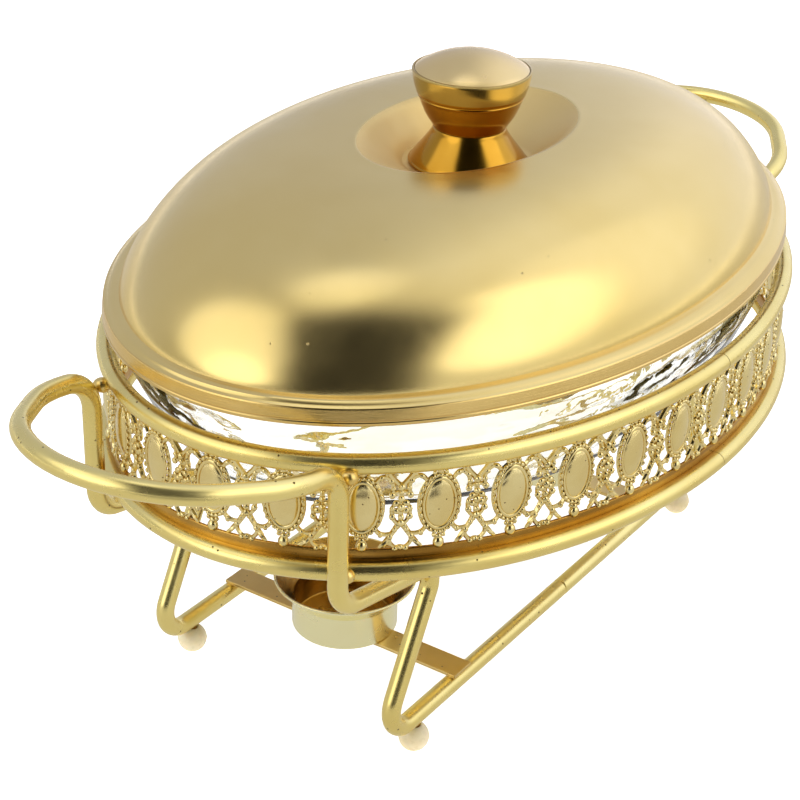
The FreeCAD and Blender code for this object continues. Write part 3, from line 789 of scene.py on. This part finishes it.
@dataclass
class BurnerCups:
    """Spun tea-light cups."""

    body_r: float = 0.0217
    body_h: float = 0.0144
    sheet: float = 0.0008
    around: int = 96

    def build(self, outside: bpy.types.Material, inside: bpy.types.Material) -> None:
        """Spin both cups."""
        for name in ("left", "right"):
            low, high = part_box("burner_cup_" + name)
            middle = (low + high) / 2
            bench = Bench("tea_light_cup_" + name)
            bench.wall([(r, r, low.z + z) for r, z in self.profile((high.x - low.x) / 2, high.z - low.z)],
                       self.around, (middle.x, middle.y))
            piece = bench.finish(35.0)
            piece.data.materials.append(outside)
            piece.data.materials.append(inside)
            # Inner faces below the rim take the darker gold: painted shade inside the cup.
            for face in piece.data.polygons:
                out = Vector((face.center.x - middle.x, face.center.y - middle.y, 0.0))
                inner = face.normal.dot(out) < 0 or (out.length < self.body_r * 0.9 and face.normal.z > 0.5)
                face.material_index = 1 if inner and face.center.z < high.z - 0.0015 else 0
            dress(piece, outside, "sheet_gold", "stand", "burner_cup_" + name)

    def profile(self, rim: float, height: float) -> list[tuple[float, float]]:
        """Radius and height of the cup's section, from under its middle up and back inside."""
        t = self.sheet
        knee = self.body_h
        return rounded([
            (0.001, 0.0, 0.0),
            (self.body_r * 0.55, 0.0, 0.0),
            (self.body_r * 0.58, 0.0003, 0.0),
            (self.body_r * 0.9, 0.0003, 0.0),
            (self.body_r, 0.0, 0.0012),
            (self.body_r, knee, 0.0009),
            (self.body_r + 0.0009, knee + 0.0005, 0.0002),
            (rim - 0.0003, height - 0.0011, 0.0003),
            (rim, height - 0.0006, 0.0003),
            (rim - 0.0001, height, 0.0003),
            (rim - t, height - 0.0001, 0.0003),
            (self.body_r + 0.0004, knee + t, 0.0008),
            (self.body_r - t, knee - 0.0004, 0.0008),
            (self.body_r - t, t, 0.001),
            (0.001, t, 0.0),
        ], 4)


@dataclass
class BallFeet:
    """Moulded ball feet with a collar round the peg."""

    seam: float = 0.00012

    def build(self, plastic: bpy.types.Material) -> None:
        """Mould the four feet."""
        for end in ("left", "right"):
            for face in ("front", "back"):
                name = end + "_" + face
                low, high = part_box("ball_foot_" + name)
                radius = (high.x - low.x) / 2
                centre = ((low.x + high.x) / 2, (low.y + high.y) / 2)
                bench = Bench("foot_" + name)
                bench.wall([(r, r, low.z + z) for r, z in self.profile(radius, high.z - low.z)], 40, centre)
                dress(bench.finish(50.0), plastic, "foot", "stand", "ball_foot_" + name)

    def profile(self, radius: float, height: float) -> list[tuple[float, float]]:
        """Radius and height of the ball, with a mould seam and a socket round the peg."""
        points = []
        steps = 26
        top = math.acos(1 - height / radius)
        for i in range(steps + 1):
            angle = 0.06 + (top - 0.06) * i / steps
            bulge = self.seam if abs(angle - math.pi / 2) < 0.05 else 0.0
            points.append(((radius - self.seam + bulge) * math.sin(angle), radius - radius * math.cos(angle)))
        rim = points[-1][0]
        socket = 0.00225
        points += [(rim * 0.6 + socket * 0.4, height - 0.0001), (socket + 0.0003, height - 0.0001),
                   (socket, height - 0.0005), (socket, height - 0.0045), (0.0004, height - 0.0048)]
        return points


# ---- dish --------------------------------------------------------------------
@dataclass
class GlassDish:
    """Oval dish with a rolled lip and a foot ring."""

    wall: float = 0.0046
    side: tuple[Oval, ...] = (
        (0.138, 0.092, 0.0), (0.145, 0.099, 0.0022), (0.149, 0.1026, 0.007), (0.156, 0.1074, 0.018),
        (0.163, 0.1124, 0.031), (0.1666, 0.1152, 0.04), (0.1676, 0.1156, 0.048),
    )
    lip_x: float = 0.1712
    lip_y: float = 0.1168
    around: int = 168

    def build(self, glass: bpy.types.Material) -> None:
        """Press the dish."""
        low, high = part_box("glass_dish")
        base, rim = low.z, high.z
        out = [(a, b, base + z) for a, b, z in self.side]
        lip = [(0.1684, 0.1158, rim - 0.0046), (self.lip_x - 0.0007, self.lip_y - 0.0002, rim - 0.004),
               (self.lip_x, self.lip_y, rim - 0.003), (self.lip_x, self.lip_y, rim - 0.0012),
               (self.lip_x - 0.0007, self.lip_y - 0.0006, rim - 0.0002), (0.1695, 0.1150, rim)]
        inner = [(a - self.wall, b - self.wall, base + z + self.wall * (1 - i / len(self.side)))
                 for i, (a, b, z) in enumerate(self.side)]
        inner[0] = (inner[0][0], inner[0][1], base + self.wall)
        sections = [(0.02, 0.012, base + 0.0008), (0.132, 0.086, base + 0.0008), (0.1345, 0.0885, base)]
        sections += self.even(out) + lip + [(0.1655, 0.1125, rim - 0.0003), (0.1642, 0.1114, rim - 0.0016)]
        sections += self.even(inner)[::-1] + [(0.02, 0.012, base + self.wall)]
        bench = Bench("pressed_glass_dish")
        bench.wall(sections, self.around)
        dress(bench.finish(70.0), glass, "glass", "dish", "glass_dish")

    def even(self, stack: list[Oval]) -> list[Oval]:
        """Smooth a stack of ovals."""
        line = smooth_line([Vector(section) for section in stack], 4)
        return [(point.x, point.y, point.z) for point in line]


# ---- lid ---------------------------------------------------------------------
@dataclass
class DomedLid:
    """Drawn lid: upright band, shoulder, dome, rounded ridge and knob well."""

    sheet: float = 0.001
    band_h: float = 0.0068
    draft: float = 0.0005
    shoulder_rise: float = 0.002
    shoulder_x: float = 0.0062
    shoulder_y: float = 0.0074
    dome_h: float = 0.0419
    power: float = 4.9
    height_power: float = 1.3
    ridge: float = 0.345
    ridge_w: float = 0.003
    well_depth: float = 0.0144
    well_floor: float = 0.0265
    around: int = 216

    def build(self, satin: bpy.types.Material, brushed: bpy.types.Material, well: bpy.types.Material) -> None:
        """Draw the lid from its band up to the dome and down into the well."""
        low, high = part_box("lid_shell")
        half_x, half_y, rim = high.x, high.y, low.z
        bench = Bench("domed_lid")
        bench.wall(self.sections(half_x, half_y, rim), self.around)
        piece = self.close(bench)
        bench.modify("SOLIDIFY", thickness=self.sheet, offset=-1.0, use_even_offset=True)
        bpy.ops.object.shade_smooth_by_angle(angle=math.radians(38))
        for finish in (satin, brushed, well):
            piece.data.materials.append(finish)
        top = rim + self.band_h - 0.0002
        ridge_x, ridge_y = (half_x - self.shoulder_x) * self.ridge, (half_y - self.shoulder_y) * self.ridge
        for face in piece.data.polygons:
            spot = face.center
            inside = math.hypot(spot.x / (ridge_x - 0.001), spot.y / (ridge_y - 0.001)) < 1
            face.material_index = 1 if spot.z < top else 2 if inside else 0
        dress(piece, satin, "lid_gold", "lid", "lid_shell")

    def close(self, bench: Bench) -> bpy.types.Object:
        """Merge doubles and turn the faces outwards; the rim and the screw hole stay open."""
        bpy.ops.mesh.select_all(action="SELECT")
        bpy.ops.mesh.remove_doubles(threshold=MERGE_GAP)
        bpy.ops.mesh.normals_make_consistent(inside=False)
        bpy.ops.object.mode_set(mode="OBJECT")
        middle = max(bench.piece.data.polygons, key=lambda face: face.center.z)
        if middle.normal.z < 0:
            bpy.ops.object.mode_set(mode="EDIT")
            bpy.ops.mesh.flip_normals()
            bpy.ops.object.mode_set(mode="OBJECT")
        return bench.piece

    def sections(self, half_x: float, half_y: float, rim: float) -> list[Oval]:
        """Ovals of the outside.

        Args:
            half_x: half length of the band.
            half_y: half width of the band.
            rim: height of its lower edge.

        Returns:
            Half length, half width and height of each oval.
        """
        top = rim + self.band_h
        foot_x, foot_y = half_x - self.shoulder_x, half_y - self.shoulder_y
        dome_z = top + self.shoulder_rise
        stack = []
        for inset, z in ((0.0009, 0.0), (0.0003, 0.0001), (0.0, 0.0005), (0.0, 0.0013), (0.0003, 0.0016),
                         (0.0003, 0.0020), (0.00005, 0.0023)):
            stack.append((half_x - inset, half_y - inset, rim + z))
        lean = self.draft
        for inset, z in ((lean, -0.0008), (lean + 0.0001, -0.0004), (lean + 0.0004, -0.0001),
                         (lean + 0.0009, 0.0), (lean + 0.0013, 0.00025), (lean + 0.0019, 0.0006)):
            stack.append((half_x - inset, half_y - inset, top + z))
        for share, z in ((0.45, 0.0012), (0.62, 0.0015), (0.78, 0.0017), (0.9, 0.0018), (0.97, 0.00195)):
            stack.append((half_x - self.shoulder_x * share, half_y - self.shoulder_y * share, top + z))
        stack += self.dome(foot_x, foot_y, dome_z)
        return stack

    def dome(self, foot_x: float, foot_y: float, foot_z: float) -> list[Oval]:
        """Ovals from the crease at the dome's foot to the screw hole in the well."""
        stack = []
        shares = [1.0, 0.9985, 0.996, 0.992, 0.986, 0.978, 0.968, 0.956, 0.942, 0.926, 0.908, 0.888, 0.866]
        shares += [0.866 - 0.018 * k for k in range(1, 28)]
        shares = [share for share in shares if share > self.ridge + 0.012]
        for share in shares:
            rise = self.dome_h * (1 - share ** self.power) ** (1 / self.height_power)
            stack.append((foot_x * share, foot_y * share, foot_z + rise))
        top = foot_z + self.dome_h * (1 - self.ridge ** self.power) ** (1 / self.height_power)
        ridge_x, ridge_y = foot_x * self.ridge, foot_y * self.ridge
        for inset, drop in ((-0.0004, 0.00005), (0.0004, 0.0), (0.001, 0.0001), (0.0016, 0.0003),
                            (0.0022, 0.0006), (self.ridge_w, 0.001)):
            stack.append((ridge_x - inset, ridge_y - inset, top - drop))
        start_x, start_y = ridge_x - self.ridge_w, ridge_y - self.ridge_w
        floor = top - self.well_depth
        for share, fall in ((0.16, 0.2), (0.34, 0.35), (0.52, 0.5), (0.7, 0.66), (0.86, 0.83), (0.95, 0.95),
                            (1.0, 1.0)):
            stack.append((start_x + (self.well_floor - start_x) * share,
                          start_y + (self.well_floor - start_y) * share, top - self.well_depth * fall))
        stack += [(0.022, 0.022, floor), (0.014, 0.014, floor), (0.00195, 0.00195, floor)]
        return stack


@dataclass
class Knob:
    """Turned knob: flared collar, polished bowl and satin cap."""

    waist: float = 0.0146
    groove_z: float = 0.0136
    groove_r: float = 0.0214
    cap_rise: float = 0.0068
    around: int = 128

    def build(self, polish: bpy.types.Material, satin: bpy.types.Material, rim: bpy.types.Material) -> None:
        """Turn the three parts; the bowl's upper band is paler."""
        self.turn("collar", polish, "knob_gold", self.collar)
        bowl = self.turn("bowl", polish, "knob_gold", self.bowl)
        bowl.data.materials.append(rim)
        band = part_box("knob_bowl")[0].z + self.groove_z + 0.0012
        for face in bowl.data.polygons:
            face.material_index = 1 if face.center.z > band else 0
        self.turn("cap", satin, "lid_gold", self.cap)

    def turn(self, part: str, finish: bpy.types.Material, slot: str, profile: Callable) -> bpy.types.Object:
        """Turn one part from the profile for its radius and height, and dress it."""
        low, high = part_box("knob_" + part)
        bench = Bench("turned_" + part)
        bench.wall([(r, r, low.z + z) for r, z in profile(high.x, high.z - low.z)], self.around)
        dress(bench.finish(32.0), finish, slot, "lid", "knob_" + part)
        return bench.piece

    def collar(self, foot: float, height: float) -> list[tuple[float, float]]:
        """Collar that flares down from the waist to its foot bead."""
        side = smooth_line([Vector((foot - 0.0006, 0.0012, 0)), Vector((0.0222, 0.0034, 0)),
                            Vector((0.0184, 0.0082, 0)), Vector((0.0156, 0.0122, 0)),
                            Vector((self.waist, height - 0.0003, 0))], 6)
        points = [(0.00195, 0.0), (foot - 0.0003, 0.0), (foot, 0.0003), (foot, 0.0008), (foot - 0.0003, 0.0011)]
        points += [(spot.x, spot.y) for spot in side]
        return points + [(self.waist - 0.0003, height), (0.00195, height)]

    def bowl(self, rim: float, height: float) -> list[tuple[float, float]]:
        """Bowl with a fine groove and a recessed seat for the cap."""
        side = smooth_line([Vector((self.waist, 0.0005, 0)), Vector((0.0157, 0.0022, 0)),
                            Vector((0.0182, 0.0062, 0)),
                            Vector((self.groove_r - 0.0004, self.groove_z - 0.0006, 0))], 6)
        points = [(0.002, 0.0), (self.waist - 0.0006, 0.0), (self.waist - 0.0001, 0.0002)]
        points += [(spot.x, spot.y) for spot in side]
        z = self.groove_z
        points += [(self.groove_r - 0.0002, z - 0.0004), (self.groove_r - 0.0004, z - 0.0001),
                   (self.groove_r - 0.0003, z + 0.0003), (self.groove_r + 0.0001, z + 0.0005)]
        upper = smooth_line([Vector((self.groove_r + 0.0003, z + 0.0008, 0)), Vector((0.0229, z + 0.0048, 0)),
                             Vector((rim - 0.0001, height - 0.0014, 0))], 6)
        points += [(spot.x, spot.y) for spot in upper]
        points += [(rim, height - 0.0007), (rim - 0.0001, height - 0.0002), (rim - 0.0005, height),
                   (rim - 0.0009, height - 0.0001), (rim - 0.001, height - 0.0004),
                   (rim - 0.001, height - 0.0015),
                   (0.002, height - 0.0015)]
        return points

    def cap(self, radius: float, height: float) -> list[tuple[float, float]]:
        """Gently domed cap."""
        base = height - self.cap_rise
        sphere = (radius ** 2 + self.cap_rise ** 2) / (2 * self.cap_rise)
        points = [(0.001, 0.0), (radius - 0.0001, 0.0), (radius - 0.0001, base - 0.0001)]
        for k in range(1, 25):
            r = (radius - 0.0002) * (1 - k / 25)
            points.append((r, height - (sphere - math.sqrt(sphere ** 2 - r ** 2))))
        return points + [(0.0002, height)]


# ---- studio ------------------------------------------------------------------
@dataclass
class Studio:
    """Pale glowing floor, soft boxes, a white surround with one dark gap, and the camera."""

    camera_at: tuple[float, float, float] = (-0.6206, -0.3828, 0.4743)
    right: tuple[float, float, float] = (0.5646, -0.8250, 0.0265)
    up: tuple[float, float, float] = (0.3730, 0.2837, 0.8834)
    lens: float = 86.8
    box_side: float = 1.4
    box_height: float = 1.62
    box_watts: float = 6.0
    dim_side: float = 0.46
    bright_side: float = 0.82
    gap: float = 0.015
    gap_aside: float = 0.09
    gap_edge: tuple[float, float] = (0.36, 0.52)
    front_tint: Colour = (0.98, 0.985, 1.0, 1.0)
    back_tint: Colour = (1.15, 1.21, 1.5, 1.0)
    patches: tuple[tuple[float, float, float, float, float], ...] = (
        (-64.0, 40.0, 22.0, 36.0, 1.3),
        (-50.0, 22.0, 14.0, 26.0, 1.9),
        (68.0, 38.0, 20.0, 34.0, 1.8),
        (104.0, 35.0, 20.0, 40.0, 1.0),
        (-140.0, 83.0, 6.0, 20.0, 1.15),
    )

    def build(self) -> None:
        """Set up the whole studio."""
        self.floor()
        self.cards()
        self.surround()
        self.camera()
        self.overhead()

    def toward(self) -> Vector:
        """Level direction from the object to the camera."""
        return Vector((self.camera_at[0], self.camera_at[1], 0.0)).normalized()

    def floor(self) -> None:
        """Lay a pale floor that glows a little, like a light table."""
        self.sheet("studio_floor", Vector(), 0.0, 14.0, (0.93, 0.93, 0.92, 1.0), (0.95, 0.95, 0.95, 1.0),
                   Roughness=0.7, Emission_Color=(1.0, 1.0, 1.0, 1.0), Emission_Strength=0.8)

    def cards(self) -> None:
        """Lay a grey card, and a dark one towards the camera; only reflections see them."""
        turn = math.atan2(self.toward().y, self.toward().x)
        for name, out, lift, side, glow in (("studio_card", 0.0, 0.0004, 5.0, 0.6),
                                            ("studio_flag", 0.9, 0.0008, 0.6, 0.01)):
            place = self.toward() * out + Vector((0.0, 0.0, lift))
            card = self.sheet(name, place, turn, side, (0.015, 0.013, 0.01, 1.0), (0.02, 0.018, 0.014, 1.0),
                              Roughness=0.9, Emission_Color=(1.0, 0.98, 0.94, 1.0), Emission_Strength=glow)
            card.visible_camera = card.visible_shadow = card.visible_diffuse = card.visible_transmission = False

    def sheet(self, name: str, place: Vector, turn: float, side: float, deep: Colour, light: Colour,
              **inputs: object) -> bpy.types.Object:
        """Lay a square sheet with a slightly uneven tone; inputs go to its shader."""
        bpy.ops.object.select_all(action="DESELECT")
        bpy.ops.mesh.primitive_plane_add(size=side, location=place, rotation=(0.0, 0.0, turn))
        sheet = bpy.context.active_object
        sheet.name = name
        recipe = Recipe(name)
        recipe.set(Base_Color=recipe.blend(recipe.noise(3.0, 2.0), deep, light), **inputs)
        sheet.data.materials.append(recipe.material)
        return sheet

    def surround(self) -> None:
        """White surround, brighter on the right, with a dark gap behind the camera."""
        world = bpy.data.worlds.new("white_tent")
        bpy.context.scene.world = world
        world.use_nodes = True
        wiring = Wiring(world.node_tree)
        background = wiring.nodes["Background"]
        coords = wiring.nodes.new("ShaderNodeTexCoord").outputs["Generated"]
        toward = self.toward()
        aside = Vector((0.0, 0.0, 1.0)).cross(toward)

        def along(way: Vector) -> bpy.types.NodeSocket:
            """Share of a direction that points along way."""
            return wiring.vector("DOT_PRODUCT", {0: coords, 1: way})

        def step(value: bpy.types.NodeSocket, *span: float) -> bpy.types.NodeSocket:
            """Soft step as the value climbs: from low to high, first to last."""
            return wiring.squeeze(value, *span, "SMOOTHSTEP")

        beside = along(aside)
        off_gap = wiring.maths("ABSOLUTE", wiring.maths("SUBTRACT", beside, self.gap_aside), 0.0)
        narrow = step(off_gap, *self.gap_edge, 1.0, 0.0)
        ahead = step(along(toward), 0.06, 0.3, 0.0, 1.0)
        light = step(beside, -0.1, 0.35, self.dim_side, self.bright_side)
        for azimuth, elevation, inner, outer, strength in self.patches:
            near, far = math.cos(math.radians(inner)), math.cos(math.radians(outer))
            patch = step(along(self.heading(azimuth, elevation)), far, near, 0.0, strength)
            light = wiring.maths("MAXIMUM", light, patch)
        kept = wiring.maths("SUBTRACT", 1.0, wiring.maths("MULTIPLY", narrow, ahead))
        strength = wiring.maths("MAXIMUM", wiring.maths("MULTIPLY", light, kept), self.gap)
        seen = wiring.nodes.new("ShaderNodeLightPath").outputs["Is Camera Ray"]
        wiring.feed(background.inputs["Strength"], wiring.maths("MAXIMUM", strength, seen))
        behind = step(along(toward), -0.4, 0.1, 1.0, 0.0)
        wiring.feed(background.inputs["Color"], wiring.blend(behind, self.front_tint, self.back_tint))

    def overhead(self) -> None:
        """Hang a soft box straight above."""
        lamp = bpy.data.lights.new("floor_box", "AREA")
        lamp.shape, lamp.size, lamp.energy = "SQUARE", self.box_side, self.box_watts
        rig = bpy.data.objects.new("floor_box", lamp)
        bpy.context.scene.collection.objects.link(rig)
        rig.location = (0.0, 0.0, self.box_height)
        rig.visible_glossy = False

    def heading(self, azimuth: float, elevation: float) -> Vector:
        """Direction at degrees to the right of the camera and above the horizon."""
        lift = math.radians(elevation)
        level = Matrix.Rotation(math.radians(azimuth), 3, "Z") @ self.toward()
        return level * math.cos(lift) + Vector((0.0, 0.0, math.sin(lift)))

    def camera(self) -> None:
        """Stand the camera."""
        camera = bpy.data.cameras.new("camera")
        camera.lens, camera.sensor_width = self.lens, 36.0
        camera.clip_start, camera.clip_end = 0.01, 50.0
        rig = bpy.data.objects.new("camera", camera)
        bpy.context.scene.collection.objects.link(rig)
        right = Vector(self.right).normalized()
        back = right.cross(Vector(self.up)).normalized()
        up = back.cross(right)
        turned = Matrix((right, up, back)).transposed().to_4x4()
        rig.matrix_world = Matrix.Translation(self.camera_at) @ turned
        bpy.context.scene.camera = rig
        bpy.context.scene.view_settings.view_transform = "Standard"


# ---- all together ------------------------------------------------------------
def main() -> None:
    """Build every piece in order, dress the carried-over nodes and set up the studio."""
    rod_gold = PlatedMetal("rod_gold", (0.93, 0.77, 0.29, 1.0), (0.87, 0.69, 0.23, 1.0), 0.24, 0.32,
                           wave=0.00018, wave_scale=42.0, pit_share=0.35).build()
    cast_gold = PlatedMetal("cast_gold", (0.93, 0.78, 0.38, 1.0), (0.84, 0.66, 0.27, 1.0), 0.16, 0.26,
                            cloud=40.0, wave=0.0003, wave_scale=150.0, pit_share=0.5, pit_scale=420.0).build()
    # Dark brown copy of the cast gold for the plain strip: painted shade, not a finish of its own.
    hem_gold_painted_shade = PlatedMetal("hem_gold_painted_shade", (0.62, 0.36, 0.08, 1.0), (0.36, 0.18, 0.03, 1.0), 0.12, 0.2,
                           grain=Grain.LEVEL, grain_depth=0.00005).build()
    braze_gold = PlatedMetal("braze_gold", (0.9, 0.69, 0.25, 1.0), (0.78, 0.54, 0.16, 1.0), 0.26, 0.36,
                             wave=0.0006, wave_scale=260.0, pit_share=0.3).build()
    # Darker gold for the straps that lie under the cups: painted shade.
    sheet_gold = PlatedMetal("sheet_gold", (0.72, 0.52, 0.2, 1.0), (0.6, 0.42, 0.14, 1.0), 0.26, 0.38,
                             pit_share=0.4).build()
    cup_gold = PlatedMetal("cup_gold", (0.99, 0.93, 0.56, 1.0), (0.97, 0.89, 0.5, 1.0), 0.2, 0.3,
                           wave=0.0003).build()
    # Darker copy of the cup gold for the cups' insides: painted shade.
    cup_inside_painted_shade = PlatedMetal("cup_inside_painted_shade", (0.62, 0.42, 0.13, 1.0), (0.5, 0.32, 0.09, 1.0), 0.2, 0.3).build()
    lid_satin = PlatedMetal("lid_satin", (0.88, 0.67, 0.255, 1.0), (0.84, 0.625, 0.215, 1.0), 0.21, 0.26,
                            cloud=14.0, pit_share=0.12, pit_scale=120.0, pit_size=0.06,
                            pit_tone=(0.6, 0.42, 0.16, 1.0)).build()
    well_satin = PlatedMetal("well_satin", (0.84, 0.63, 0.26, 1.0), (0.81, 0.60, 0.23, 1.0), 0.48, 0.54,
                             cloud=14.0).build()
    lid_band = PlatedMetal("lid_band", (0.86, 0.62, 0.23, 1.0), (0.79, 0.55, 0.18, 1.0), 0.18, 0.26,
                           grain=Grain.LEVEL, grain_depth=0.00004).build()
    knob_polish = PlatedMetal("knob_polish", (0.58, 0.31, 0.035, 1.0), (0.48, 0.23, 0.02, 1.0), 0.15,
                              0.21).build()
    knob_rim = PlatedMetal("knob_rim", (0.6, 0.44, 0.15, 1.0), (0.52, 0.36, 0.11, 1.0), 0.16, 0.22).build()
    cap_satin = PlatedMetal("cap_satin", (0.90, 0.68, 0.30, 1.0), (0.84, 0.61, 0.25, 1.0), 0.22, 0.28,
                            grain=Grain.TURNED, grain_depth=0.000015).build()
    peg_gold = PlatedMetal("peg_gold", (0.5, 0.3, 0.09, 1.0), (0.38, 0.21, 0.05, 1.0), 0.3, 0.42).build()
    glass = PressedGlass("clear_glass").build()
    plastic = MilkyPlastic("milky_plastic").build()
    steel = PlainSteel("plain_steel").build()

    BentFrame().build(rod_gold)
    Rails().build(rod_gold)
    Gallery().build(cast_gold, hem_gold_painted_shade)
    BrazeJoints().build(braze_gold)
    Straps().build(sheet_gold)
    BurnerCups().build(cup_gold, cup_inside_painted_shade)
    BallFeet().build(plastic)
    GlassDish().build(glass)
    DomedLid().build(lid_satin, lid_band, well_satin)
    Knob().build(knob_polish, cap_satin, knob_rim)
    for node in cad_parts:
        if node.startswith("foot_peg"):
            recoat(node, peg_gold)
        elif "dowel" in node or node in ("knob_screw", "knob_washer"):
            recoat(node, steel)
    Studio().build()


if __name__ == "__main__":
    main()
